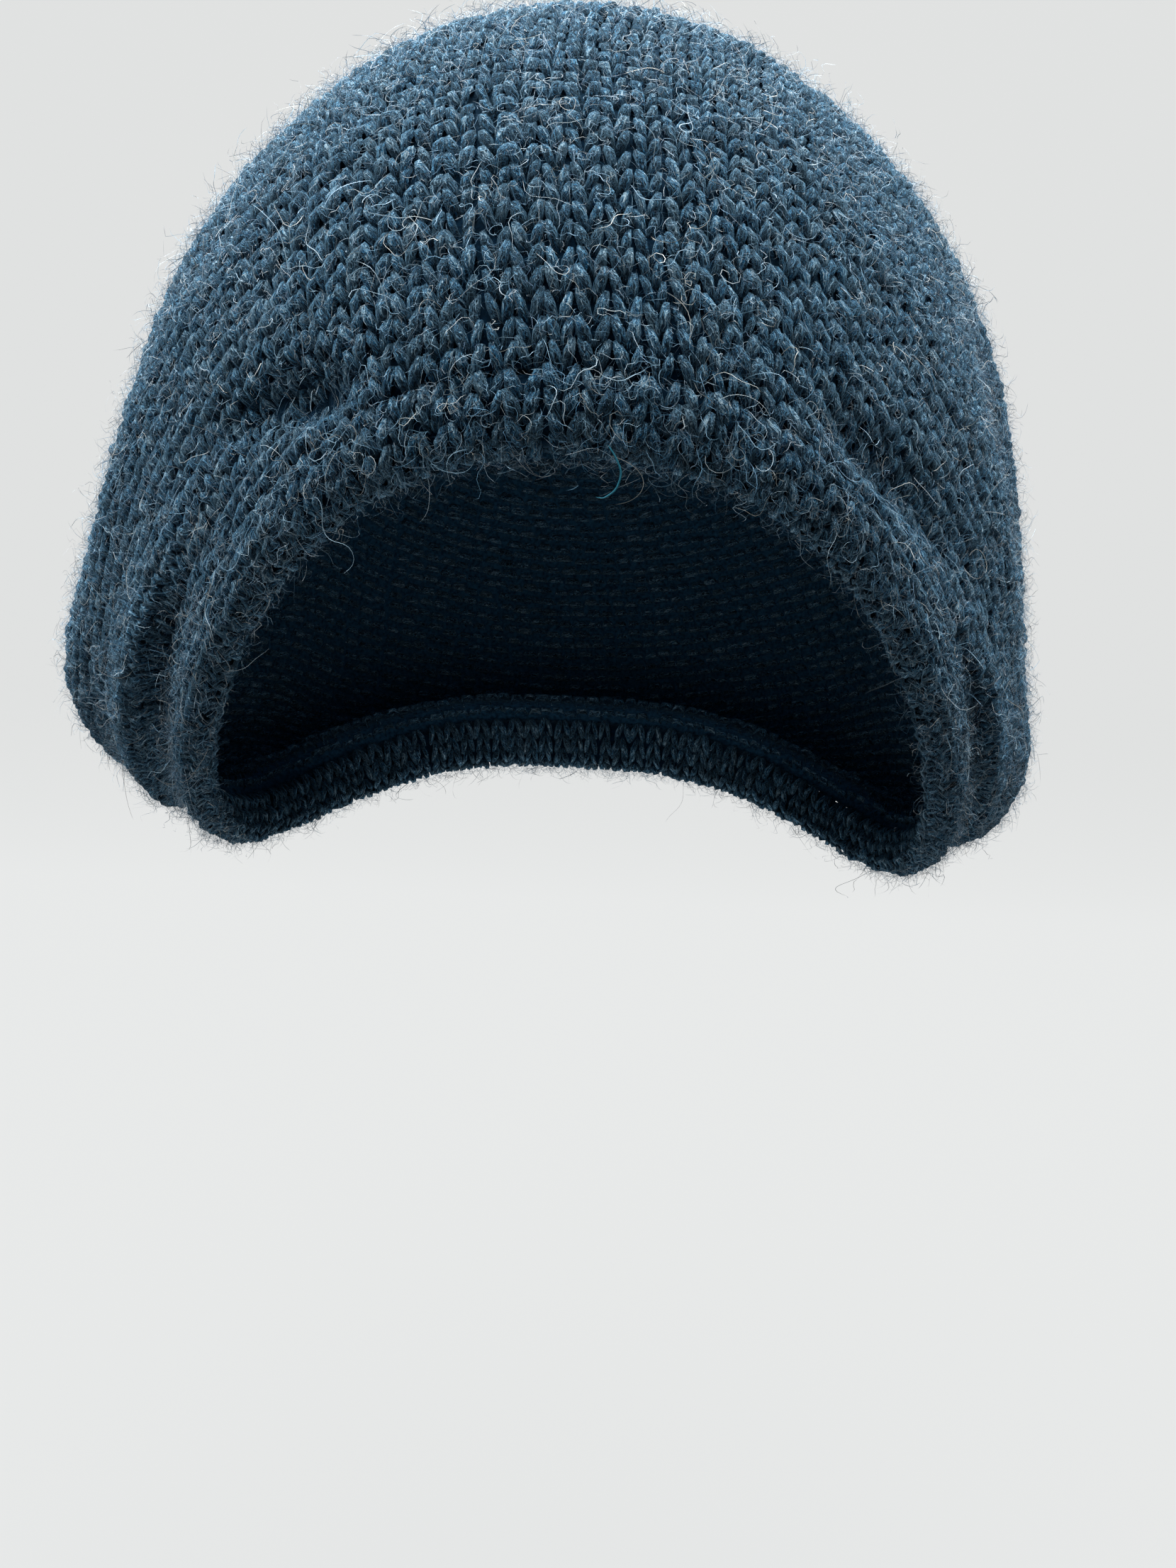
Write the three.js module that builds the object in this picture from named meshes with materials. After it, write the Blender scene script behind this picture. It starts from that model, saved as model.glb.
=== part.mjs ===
// A slouchy knitted hat, in millimetres with +Z up, in the shape that it has when worn.
// The face looks towards -Y and the wearer's left is +X. The origin is the centre of the opening,
// which is tilted: high at the front over the forehead, low at the back over the nape.
// The crown is one knitted bag, hollow, whose loose part hangs behind and beside the head. Its
// wall is cut into panels by hair-thin gaps, so that each solid is simple and none spans the
// hollow. The hem is the fabric's first rows, folded double round the opening.
import * as THREE from 'three';

// Driving dimensions
const WALL = 3.5; // thickness of the knitted fabric
const HEM_HEIGHT = 14; // from the fold at the rim up to the hem's top
const HEM_WALL = 2 * WALL; // the hem is two layers of fabric
const GAP = 0.3; // between the solids
const FACETS = 64; // round the hat
const PANELS_ROUND = 8; // in each band of the crown's wall
const SEAM_RADIUS = 90; // the crown's least half width, which turns a panel's gap to an angle
const SAG_SHARPNESS = 2.6; // how closely a section's sag keeps to its two sides

// A table's rows as objects, with its column names as keys.
const table = (columns, rows) =>
  rows.map((row) => Object.fromEntries(columns.map((column, i) => [column, row[i]])));

// Sections of the outer surface, each a loop round the hat at one distance up the fabric.
// up: distance from the rim along the fabric. frontY, frontZ, backY, backZ: where the loop
// crosses the middle plane. halfWidth, shiftX: its width, and its offset to the wearer's left.
// sideY, sideZ: how far its two sides lie off the straight line from front to back.
// skew: the share of the width that is moved from the front half to the back half.
const SECTION_COLUMNS = [
  'up', 'frontY', 'frontZ', 'backY', 'backZ', 'halfWidth', 'shiftX', 'sideY', 'sideZ', 'skew',
];
const SECTIONS = table(SECTION_COLUMNS, [
  [0, -91, 54, 90, -54, 89, 0, 0, -48, 0],
  [14, -90, 68, 96, -41, 93, -0.5, 0, -52, 0],
  [24, -86, 78, 101, -36, 96, -1.5, -1, -55, 0.02],
  [38, -79, 90, 113, -44, 106, -3, -3, -66, 0.06],
  [54, -69, 103, 127, -58, 117.5, -4, -6, -63, 0.11],
  [72, -56, 115, 143, -69, 126.5, -5, -10, -46, 0.15],
  [92, -39, 126, 160, -69, 125, -5, -14, -21, 0.18],
  [120, -14, 136, 173, -49, 117, -2.5, -14, -3, 0.185],
  [150, 16, 139, 177, -19, 102, -2, -8, 9, 0.17],
  [180, 46, 136, 172, 11, 82, -3, 0, 10, 0.15],
  [210, 75, 127, 163, 40, 59, -3, 0, 7, 0.11],
  [235, 98, 115, 152, 63, 38, -3, 0, 3, 0.06],
  [260, 118, 100, 137, 82, 15, -3, 0, 0, 0],
  [275, 128, 91, 128, 91, 0, -3, 0, 0, 0],
]);
const CLOSING_UP = SECTIONS[SECTIONS.length - 1].up;

// Folds and bulges of the slack fabric, each a soft mound or dent on the surface.
// side: degrees round from the front, + to the wearer's left. up: distance up the fabric.
// spread: its reach round the hat in degrees. rise: its reach up the fabric.
// turn: how far its middle climbs for each degree round. height: + for a mound, - for a dent.
const FOLD_COLUMNS = ['place', 'side', 'up', 'spread', 'rise', 'turn', 'height'];
const FOLDS = table(FOLD_COLUMNS, [
  ['crease over the right brow', -31, 25, 8, 8, -1.2, -5],
  ['crease over the left brow', 37, 28, 9, 8, 0.8, -4.5],
  ['groove over the hem, right', -78, 22, 30, 6, 0, -2.5],
  ['groove over the hem, left', 78, 22, 30, 6, 0, -2.5],
  ['lip of the right pouch', -64, 38, 14, 9, -0.2, 3],
  ['lip of the left pouch', 66, 38, 14, 9, 0.2, 3],
  ['dent over the right pouch', -68, 90, 11, 18, 0.5, -4.5],
  ['dent over the left pouch', 70, 86, 13, 20, -0.5, -8],
  ['right pouch', -82, 74, 14, 12, 0, 6],
  ['left pouch', 86, 62, 13, 12, 0, 1.5],
  ['drawn-in foot of the right pouch', -98, 54, 18, 10, 0, -9],
  ['slack behind the right ear', -128, 92, 9, 42, 0.4, -6],
  ['slack behind the left ear', 122, 100, 9, 40, -0.4, -5],
  ['sag at the back', 170, 140, 30, 13, 0.2, -3],
  ['gathered closing', 180, 275, 400, 9, 0, -4],
]);

// Bands of the crown's wall, from the hem up: where each ends, and its rows of facets.
// The cap above them closes the bag in one piece.
const BANDS = table(['name', 'top', 'rows'], [
  ['lower', 92, 8],
  ['middle', 176, 9],
]);
const CAP_ROWS = 11;

// Closed section of the hem: distance up the fabric, and height off its outer surface.
const HEM_PROFILE = table(['up', 'height'], [
  [HEM_HEIGHT, 0],
  [10.5, 1.2],
  [6, 1.4],
  [2.4, 0.6],
  [0.5, -1.2],
  [0, -WALL],
  [0.8, -5.8],
  [3, -HEM_WALL],
  [8, -HEM_WALL - 0.2],
  [HEM_HEIGHT, -HEM_WALL],
]);

// Slopes at the table's rows for a smooth curve through one column that never overshoots.
function slopes(column) {
  const last = SECTIONS.length - 1;
  const run = (i) => SECTIONS[i + 1].up - SECTIONS[i].up;
  const grade = (i) => (SECTIONS[i + 1][column] - SECTIONS[i][column]) / run(i);
  return SECTIONS.map((section, i) => {
    if (i === 0) return grade(0);
    if (i === last) return grade(last - 1);
    const before = grade(i - 1);
    const after = grade(i);
    if (before * after <= 0) return 0;
    const weightBefore = 2 * run(i) + run(i - 1);
    const weightAfter = run(i) + 2 * run(i - 1);
    return (weightBefore + weightAfter) / (weightBefore / before + weightAfter / after);
  });
}

const SLOPES = Object.fromEntries(SECTION_COLUMNS.map((column) => [column, slopes(column)]));

// The value of one column of the sections at any distance up the fabric.
function sectionValue(column, up) {
  let i = 0;
  while (i < SECTIONS.length - 2 && up > SECTIONS[i + 1].up) i += 1;
  const run = SECTIONS[i + 1].up - SECTIONS[i].up;
  const s = (up - SECTIONS[i].up) / run;
  const values = SECTIONS[i][column] * (1 + 2 * s) * (1 - s) ** 2
    + SECTIONS[i + 1][column] * s * s * (3 - 2 * s);
  const bend = SLOPES[column][i] * s * (1 - s) ** 2 - SLOPES[column][i + 1] * s * s * (1 - s);
  return values + run * bend;
}

// A point of the outer surface before the folds. side is in radians from the front.
function smoothPoint(side, up) {
  const at = (column) => sectionValue(column, up);
  const back = (1 - Math.cos(side)) / 2;
  const sag = Math.abs(Math.sin(side)) ** SAG_SHARPNESS;
  return new THREE.Vector3(
    at('shiftX') + at('halfWidth') * Math.sin(side) * (1 - at('skew') * Math.cos(side)),
    at('frontY') + (at('backY') - at('frontY')) * back + at('sideY') * sag,
    at('frontZ') + (at('backZ') - at('frontZ')) * back + at('sideZ') * sag,
  );
}

// The outward direction of the outer surface.
function outward(side, up) {
  const stepSide = 0.02;
  const stepUp = 1.5;
  const low = THREE.MathUtils.clamp(up - stepUp, 0, CLOSING_UP - 5);
  const middle = low + stepUp;
  const across = smoothPoint(side + stepSide, middle).sub(smoothPoint(side - stepSide, middle));
  const along = smoothPoint(side, middle + stepUp).sub(smoothPoint(side, low));
  return across.cross(along).normalize();
}

// How far the folds lift the fabric off the outer surface. Each one's reach is a bell curve.
function foldHeight(side, up) {
  const degrees = THREE.MathUtils.radToDeg(side);
  let height = 0;
  for (const fold of FOLDS) {
    const round = THREE.MathUtils.euclideanModulo(degrees - fold.side + 180, 360) - 180;
    const climb = up - fold.up - fold.turn * round;
    height += fold.height * Math.exp(-((round / fold.spread) ** 2) - (climb / fold.rise) ** 2);
  }
  // The folds fade out at the hem, which the head stretches smooth.
  return height * THREE.MathUtils.smoothstep(up, HEM_HEIGHT, HEM_HEIGHT + 8);
}

// A point of the fabric at a height off its outer surface; - is towards the head.
function fabricPoint(side, up, height) {
  const lift = foldHeight(side, up) + height;
  return smoothPoint(side, up).addScaledVector(outward(side, up), lift);
}

// The point where the last stitches are drawn together, along the mean outward direction.
function closingPoint(height) {
  const direction = new THREE.Vector3();
  for (let i = 0; i < FACETS; i += 1) direction.add(outward(facetSide(i), CLOSING_UP - 4));
  const lift = foldHeight(Math.PI, CLOSING_UP) + height;
  return smoothPoint(Math.PI, CLOSING_UP).addScaledVector(direction.normalize(), lift);
}

function facetSide(i) {
  return (i / FACETS) * 2 * Math.PI;
}

// Adds a loop of points round the fabric and returns the index of its first one.
function addLoop(points, up, height) {
  const first = points.length;
  for (let i = 0; i < FACETS; i += 1) points.push(fabricPoint(facetSide(i), up, height));
  return first;
}

// Triangles between two neighbouring loops; on the outer side the second is further up.
function joinLoops(triangles, first, second) {
  for (let i = 0; i < FACETS; i += 1) {
    const j = (i + 1) % FACETS;
    triangles.push(first + i, first + j, second + j);
    triangles.push(first + i, second + j, second + i);
  }
}

function meshGeometry(points, triangles) {
  const geometry = new THREE.BufferGeometry();
  const positions = points.flatMap((point) => point.toArray());
  geometry.setAttribute('position', new THREE.Float32BufferAttribute(positions, 3));
  geometry.setIndex(triangles);
  geometry.computeVertexNormals();
  return geometry;
}

// One panel of the crown's wall: a closed block of fabric between two sides and two rows.
// Neighbours' edges are cut along the same diagonals, so that they stay a gap apart.
function panelGeometry(fromSide, toSide, bottom, top, rows) {
  const across = FACETS / PANELS_ROUND;
  const points = [];
  const triangles = [];
  const quad = (a, b, c, d) => triangles.push(a, b, c, a, c, d);
  const corner = (skin, row, i) => (skin * (rows + 1) + row) * (across + 1) + i;
  for (const height of [0, -WALL]) {
    for (let row = 0; row <= rows; row += 1) {
      for (let i = 0; i <= across; i += 1) {
        const side = fromSide + ((toSide - fromSide) * i) / across;
        points.push(fabricPoint(side, bottom + ((top - bottom) * row) / rows, height));
      }
    }
  }
  for (let row = 0; row < rows; row += 1) {
    for (let i = 0; i < across; i += 1) {
      const [j, above] = [i + 1, row + 1];
      quad(corner(0, row, i), corner(0, row, j), corner(0, above, j), corner(0, above, i));
      quad(corner(1, row, i), corner(1, above, i), corner(1, above, j), corner(1, row, j));
    }
    quad(corner(0, row, 0), corner(0, row + 1, 0), corner(1, row + 1, 0), corner(1, row, 0));
    quad(corner(0, row, across), corner(1, row, across),
      corner(1, row + 1, across), corner(0, row + 1, across));
  }
  for (let i = 0; i < across; i += 1) {
    quad(corner(1, 0, i), corner(1, 0, i + 1), corner(0, 0, i + 1), corner(0, 0, i));
    quad(corner(1, rows, i), corner(0, rows, i), corner(0, rows, i + 1), corner(1, rows, i + 1));
  }
  return meshGeometry(points, triangles);
}

// The cap: outer and inner skins up to the closing point, joined by the edge that meets the wall.
function capGeometry(bottom) {
  const points = [];
  const triangles = [];
  const [outer, inner] = [0, -WALL].map((height) => {
    const loops = [];
    for (let row = 0; row < CAP_ROWS; row += 1) {
      loops.push(addLoop(points, bottom + ((CLOSING_UP - bottom) * row) / CAP_ROWS, height));
    }
    points.push(closingPoint(height));
    return { loops, closing: points.length - 1 };
  });
  const last = CAP_ROWS - 1;
  for (let row = 0; row < last; row += 1) {
    joinLoops(triangles, outer.loops[row], outer.loops[row + 1]);
    joinLoops(triangles, inner.loops[row + 1], inner.loops[row]);
  }
  for (let i = 0; i < FACETS; i += 1) {
    const j = (i + 1) % FACETS;
    triangles.push(outer.loops[last] + i, outer.loops[last] + j, outer.closing);
    triangles.push(inner.loops[last] + j, inner.loops[last] + i, inner.closing);
  }
  joinLoops(triangles, inner.loops[0], outer.loops[0]);
  return meshGeometry(points, triangles);
}

// The hem: its closed section carried round the opening.
function hemGeometry() {
  const points = [];
  const triangles = [];
  const loops = HEM_PROFILE.map(({ up, height }) => addLoop(points, up, height));
  loops.forEach((loop, k) => joinLoops(triangles, loops[(k + 1) % loops.length], loop));
  return meshGeometry(points, triangles);
}

function piece(name, geometry, color) {
  const material = new THREE.MeshStandardMaterial({ color, roughness: 0.95, metalness: 0 });
  const mesh = new THREE.Mesh(geometry, material);
  mesh.name = name;
  return mesh;
}

const HEATHER_BLUE = 0x3e5f7e;

const hat = new THREE.Group();
hat.add(piece('hem', hemGeometry(), HEATHER_BLUE));
let bandBottom = HEM_HEIGHT + GAP;
for (const band of BANDS) {
  for (let panel = 0; panel < PANELS_ROUND; panel += 1) {
    const width = (2 * Math.PI) / PANELS_ROUND;
    const seam = GAP / 2 / SEAM_RADIUS;
    const [from, to] = [(panel - 0.5) * width + seam, (panel + 0.5) * width - seam];
    const geometry = panelGeometry(from, to, bandBottom, band.top, band.rows);
    hat.add(piece(`crown_${band.name}_${panel + 1}`, geometry, HEATHER_BLUE));
  }
  bandBottom = band.top + GAP;
}
hat.add(piece('crown_cap', capGeometry(bandBottom), HEATHER_BLUE));

export default hat;
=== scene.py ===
"""Dresses a slouchy knitted hat, stitch by stitch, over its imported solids.

A point of the fabric is named by side, up and height. side is the angle round the hat from the
front, + to the wearer's left. up is the distance up the fabric from the rim. height is the
distance off the outer surface, - towards the head. Lengths are in millimetres until a mesh is
made, and the frame's own lengths are metres.
"""

import bpy
import numpy as np
from mathutils import Matrix, Vector


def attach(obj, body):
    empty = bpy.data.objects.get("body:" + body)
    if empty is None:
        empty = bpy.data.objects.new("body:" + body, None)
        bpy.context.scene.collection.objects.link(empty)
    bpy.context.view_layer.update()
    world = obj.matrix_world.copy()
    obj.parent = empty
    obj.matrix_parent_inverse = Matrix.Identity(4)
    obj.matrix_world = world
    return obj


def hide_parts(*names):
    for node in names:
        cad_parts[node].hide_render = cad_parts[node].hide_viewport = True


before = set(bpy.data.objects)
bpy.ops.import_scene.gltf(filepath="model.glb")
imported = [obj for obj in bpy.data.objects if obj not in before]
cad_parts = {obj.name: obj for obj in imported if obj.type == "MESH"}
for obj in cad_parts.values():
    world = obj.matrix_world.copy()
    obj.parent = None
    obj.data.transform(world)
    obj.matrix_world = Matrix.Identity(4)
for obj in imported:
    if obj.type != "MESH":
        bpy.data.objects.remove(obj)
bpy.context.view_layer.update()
chance = np.random.default_rng(41)
MM = 0.001
TURN = 2 * np.pi

# ---------------------------------------------------------------- the shape of the fabric

HEM_HEIGHT = 14.0  # from the fold at the rim up to the hem's top
SAG_SHARPNESS = 2.6  # how closely a section's sag keeps to its two sides

# Sections of the outer surface, as in the solids: where a loop round the hat crosses the middle
# plane in front and behind, its width and offset, how its sides sag, and its skew backwards.
# up, front y, front z, back y, back z, half width, shift x, side y, side z, skew
SECTIONS = np.array([
    (0, -91, 54, 90, -54, 89, 0, 0, -48, 0),
    (14, -90, 68, 96, -41, 93, -0.5, 0, -52, 0),
    (24, -86, 78, 101, -36, 96, -1.5, -1, -55, 0.02),
    (38, -79, 90, 113, -44, 106, -3, -3, -66, 0.06),
    (54, -69, 103, 127, -58, 117.5, -4, -6, -63, 0.11),
    (72, -56, 115, 143, -69, 126.5, -5, -10, -46, 0.15),
    (92, -39, 126, 160, -69, 125, -5, -14, -21, 0.18),
    (120, -14, 136, 173, -49, 117, -2.5, -14, -3, 0.185),
    (150, 16, 139, 177, -19, 102, -2, -8, 9, 0.17),
    (180, 46, 136, 172, 11, 82, -3, 0, 10, 0.15),
    (210, 75, 127, 163, 40, 59, -3, 0, 7, 0.11),
    (235, 98, 115, 152, 63, 38, -3, 0, 3, 0.06),
    (260, 118, 100, 137, 82, 15, -3, 0, 0, 0),
    (275, 128, 91, 128, 91, 0, -3, 0, 0, 0),
], float)
CLOSING_UP = SECTIONS[-1, 0]

# Folds and bulges: side in degrees, up, spread in degrees, rise, turn (how far the middle climbs
# for each degree round), height. Most are as in the solids. The brow's creases, the grooves over
# the hem, the pouches' lips, the right pouch and its foot differ by up to 3 mm, after the photo.
FOLDS = (
    (-29, 23, 9, 6, -1.2, -6),  # crease over the right brow
    (37, 27, 12, 8, 0.8, -4.5),  # crease over the left brow
    (-78, 22, 30, 6, 0, -1),  # groove over the hem, right
    (78, 22, 30, 6, 0, -1),  # groove over the hem, left
    (-64, 36, 15, 10, -0.2, 4),  # lip of the right pouch
    (66, 36, 15, 10, 0.2, 4),  # lip of the left pouch
    (-68, 90, 11, 18, 0.5, -4.5),  # dent over the right pouch
    (70, 86, 13, 20, -0.5, -8),  # dent over the left pouch
    (-82, 74, 14, 12, 0, 4),  # right pouch
    (86, 62, 13, 12, 0, 1.5),  # left pouch
    (-98, 54, 18, 10, 0, -6.5),  # drawn-in foot of the right pouch
    (-128, 92, 9, 42, 0.4, -6),  # slack behind the right ear
    (122, 100, 9, 40, -0.4, -5),  # slack behind the left ear
    (170, 140, 30, 13, 0.2, -3),  # sag at the back
    (180, 275, 400, 9, 0, -4),  # gathered closing
)
FOLDS_FADE = 8.0  # how far above the hem the folds reach their full height
NEAR_CLOSING = 5.0  # closer than this the sections are too small to show which way is out

# Closed section of the folded hem, from the top of its inner layer down round the fold and up
# the outer layer: up, height
HEM_PROFILE = np.array([
    (14, -7.0), (8, -7.2), (3, -7.0), (0.8, -5.8), (0, -3.5),
    (0.5, -1.2), (2.4, 0.6), (6, 1.4), (10.5, 1.2), (14, 0),
], float)


def smooth_slopes(xs, ys):
    """Slopes at the rows for smooth curves through the columns that never overshoot."""
    run = np.diff(xs)
    grade = np.diff(ys, axis=0) / run[:, None]
    slope = np.zeros_like(ys)
    slope[0], slope[-1] = grade[0], grade[-1]
    before, after = grade[:-1], grade[1:]
    weight_before = (2 * run[1:] + run[:-1])[:, None]
    weight_after = (run[1:] + 2 * run[:-1])[:, None]
    same = before * after > 0
    safe_before, safe_after = np.where(same, before, 1), np.where(same, after, 1)
    mean = (weight_before + weight_after) / (
        weight_before / safe_before + weight_after / safe_after
    )
    slope[1:-1] = np.where(same, mean, 0)
    return slope


def smooth_curve(xs, ys, slope, x):
    """Values at x of the smooth curves through the rows xs, ys with these slopes."""
    i = np.clip(np.searchsorted(xs, x, side="right") - 1, 0, len(xs) - 2)
    run = (xs[i + 1] - xs[i])[..., None]
    s = ((x - xs[i]) / (xs[i + 1] - xs[i]))[..., None]
    return (
        ys[i] * (1 + 2 * s) * (1 - s) ** 2 + ys[i + 1] * s * s * (3 - 2 * s)
        + run * (slope[i] * s * (1 - s) ** 2 - slope[i + 1] * s * s * (1 - s))
    )


SECTION_SLOPES = smooth_slopes(SECTIONS[:, 0], SECTIONS[:, 1:])


def smooth_point(side, up):
    """Points of the outer surface before the folds, in millimetres."""
    values = smooth_curve(SECTIONS[:, 0], SECTIONS[:, 1:], SECTION_SLOPES, up)
    front_y, front_z, back_y, back_z, half_width, shift_x, side_y, side_z, skew = (
        values[..., k] for k in range(9)
    )
    back = (1 - np.cos(side)) / 2
    sag = np.abs(np.sin(side)) ** SAG_SHARPNESS
    return np.stack([
        shift_x + half_width * np.sin(side) * (1 - skew * np.cos(side)),
        front_y + (back_y - front_y) * back + side_y * sag,
        front_z + (back_z - front_z) * back + side_z * sag,
    ], -1)


def unit(v):
    """Vectors made one unit long."""
    return v / np.maximum(np.linalg.norm(v, axis=-1, keepdims=True), 1e-9)


def outward(side, up):
    """The outward direction of the outer surface."""
    step_side, step_up = 0.02, 1.5
    low = np.clip(up - step_up, 0, CLOSING_UP - NEAR_CLOSING)
    middle = low + step_up
    across = smooth_point(side + step_side, middle) - smooth_point(side - step_side, middle)
    along = smooth_point(side, middle + step_up) - smooth_point(side, low)
    return unit(np.cross(across, along))


def fold_height(side, up):
    """How far the folds lift the fabric off the outer surface."""
    degrees = np.degrees(side)
    height = np.zeros(np.broadcast(side, up).shape)
    for fold_side, fold_up, spread, rise, turn, fold in FOLDS:
        around = (degrees - fold_side + 180) % 360 - 180
        climb = up - fold_up - turn * around
        height += fold * np.exp(-(around / spread) ** 2 - (climb / rise) ** 2)
    fade = np.clip((up - HEM_HEIGHT) / FOLDS_FADE, 0, 1)
    return height * fade * fade * (3 - 2 * fade)


def crown_place(side, up, height):
    """Points of the crown's fabric, in millimetres."""
    lift = fold_height(side, up) + height
    return smooth_point(side, up) + outward(side, up) * lift[..., None]


HEM_RUN = np.concatenate([[0], np.cumsum(np.linalg.norm(np.diff(HEM_PROFILE, axis=0), axis=1))])
HEM_SLOPES = smooth_slopes(HEM_RUN, HEM_PROFILE)
HEM_LENGTH = HEM_RUN[-1]


def hem_place(side, run, height):
    """Points of the folded hem. run is the distance along its section from its hidden top."""
    step = 0.4
    inside = np.clip(run, step, HEM_LENGTH - step)
    ahead = smooth_curve(HEM_RUN, HEM_PROFILE, HEM_SLOPES, inside + step)
    behind = smooth_curve(HEM_RUN, HEM_PROFILE, HEM_SLOPES, inside - step)
    tangent = unit(ahead - behind)
    middle = smooth_curve(HEM_RUN, HEM_PROFILE, HEM_SLOPES, inside)
    middle = middle + tangent * (run - inside)[..., None]
    off = middle + np.stack([-tangent[..., 1], tangent[..., 0]], -1) * height[..., None]
    return crown_place(side, off[..., 0], off[..., 1])


# ---------------------------------------------------------------- meshes

def add_mesh(name, points, quads, triangles, material, vectors=(), colours=()):
    """A smooth-shaded mesh from arrays, with named attributes."""
    quads = np.asarray(quads, np.int32).reshape(-1, 4)
    triangles = np.asarray(triangles, np.int32).reshape(-1, 3)
    mesh = bpy.data.meshes.new(name)
    mesh.vertices.add(len(points))
    mesh.vertices.foreach_set("co", (np.asarray(points) * MM).astype(np.float32).ravel())
    corners = np.concatenate([quads.ravel(), triangles.ravel()])
    mesh.loops.add(len(corners))
    mesh.loops.foreach_set("vertex_index", corners)
    starts = np.concatenate([
        np.arange(len(quads)) * 4, quads.size + np.arange(len(triangles)) * 3,
    ])
    mesh.polygons.add(len(starts))
    mesh.polygons.foreach_set("loop_start", starts.astype(np.int32))
    mesh.polygons.foreach_set("use_smooth", np.ones(len(starts), bool))
    for label, values in vectors:
        data = mesh.attributes.new(label, "FLOAT_VECTOR", "POINT").data
        data.foreach_set("vector", np.asarray(values, np.float32).ravel())
    for label, values in colours:
        rgba = np.concatenate([values, np.ones((len(values), 1))], 1)
        data = mesh.attributes.new(label, "FLOAT_COLOR", "POINT").data
        data.foreach_set("color", rgba.astype(np.float32).ravel())
    mesh.update(calc_edges=True)
    mesh.validate()
    mesh.materials.append(material)
    piece = bpy.data.objects.new(name, mesh)
    bpy.context.scene.collection.objects.link(piece)
    return piece


def dress(piece, *nodes):
    """Makes a mesh a piece of the hat, which may stand for nodes of the solids."""
    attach(piece, "root")
    if nodes:
        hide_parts(*nodes)
    return piece


STRAND_ROUND = np.radians([-15, 55, 125, 195])  # round a strand, over its raised side
# Painted shade round a strand: the yarn's colour is darker at its sides than over its top
STRAND_PAINTED_OPENNESS = np.array([0.55, 1.0, 1.0, 0.55])  # how open to light each of those places is


def half_strands(centres, radii, raised):
    """Strands through centres (strand, ring, xyz), rounded on the raised side and open below.

    The first and last centres are a strand's points. Returns points, quads, triangles and, for
    each point, its ring, its painted shade (how open to light it is), and its place across the
    strand as if it lay straight.
    """
    strands, rings = centres.shape[:2]
    sides = len(STRAND_ROUND)
    tangent = unit(np.gradient(centres, axis=1))
    up = unit(raised - (raised * tangent).sum(-1, keepdims=True) * tangent)
    across = np.cross(up, tangent)
    around = np.stack([np.cos(STRAND_ROUND), np.sin(STRAND_ROUND)], -1)
    spokes = around[:, :1] * across[:, 1:-1, None] + around[:, 1:] * up[:, 1:-1, None]
    hoops = centres[:, 1:-1, None] + spokes * radii[:, 1:-1, None, None]
    points = np.concatenate([centres[:, :1], hoops.reshape(strands, -1, 3), centres[:, -1:]], 1)
    size = points.shape[1]
    start = (np.arange(strands) * size)[:, None, None]
    k = np.arange(sides - 1)
    low = 1 + sides * np.arange(rings - 3)[:, None, None]
    quad = low + np.stack([k, k + 1, k + 1 + sides, k + sides], -1)
    quads = (start + quad.reshape(1, -1, 4)).reshape(-1, 4)
    foot = np.stack([0 * k, k + 2, k + 1], -1)
    tip = np.stack([size - 1 - sides + k, size - sides + k, 0 * k + size - 1], -1)
    triangles = (start + np.concatenate([foot, tip])[None]).reshape(-1, 3)
    ring_of = np.concatenate([[0], np.repeat(np.arange(1, rings - 1), sides), [rings - 1]])
    painted_openness_of = np.concatenate([[1], np.tile(STRAND_PAINTED_OPENNESS, rings - 2), [1]])
    cross = np.zeros((strands, size, 2))
    cross[:, 1:-1] = (radii[:, 1:-1, None, None] * around).reshape(strands, -1, 2)
    return points.reshape(-1, 3), quads, triangles, ring_of, painted_openness_of, cross


def ribbons(centres, half_widths, facing):
    """Flat fibres, pointed at both ends, through centres (fibre, ring, xyz)."""
    count, rings = centres.shape[:2]
    tangent = unit(np.gradient(centres, axis=1))
    aside = unit(np.cross(facing, tangent)) * half_widths[..., None]
    pairs = np.stack([centres - aside, centres + aside], 2)[:, 1:-1].reshape(count, -1, 3)
    points = np.concatenate([centres[:, :1], pairs, centres[:, -1:]], 1)
    size = points.shape[1]
    start = (np.arange(count) * size)[:, None, None]
    low = 1 + 2 * np.arange(rings - 3)[:, None]
    quads = (start + (low + np.array([[0, 1, 3, 2]]))[None]).reshape(-1, 4)
    ends = np.array([[0, 2, 1], [size - 3, size - 2, size - 1]])
    triangles = (start + ends[None]).reshape(-1, 3)
    return points.reshape(-1, 3), quads, triangles, size


def strand_coordinates(centres, ring_of, cross, twist_pitch):
    """For each point, its place in the yarn as if the strand lay straight and untwisted."""
    steps = np.linalg.norm(np.diff(centres, axis=1), axis=-1)
    along = np.concatenate([np.zeros((len(centres), 1)), np.cumsum(steps, axis=1)], 1)[:, ring_of]
    angle = TURN * along / twist_pitch
    y = cross[..., 0] * np.cos(angle) - cross[..., 1] * np.sin(angle)
    z = cross[..., 0] * np.sin(angle) + cross[..., 1] * np.cos(angle)
    offset = chance.uniform(0, 400, (len(centres), 1, 3))
    return (np.stack([along, y, z], -1) + offset).reshape(-1, 3)


# ---------------------------------------------------------------- stitches

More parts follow.
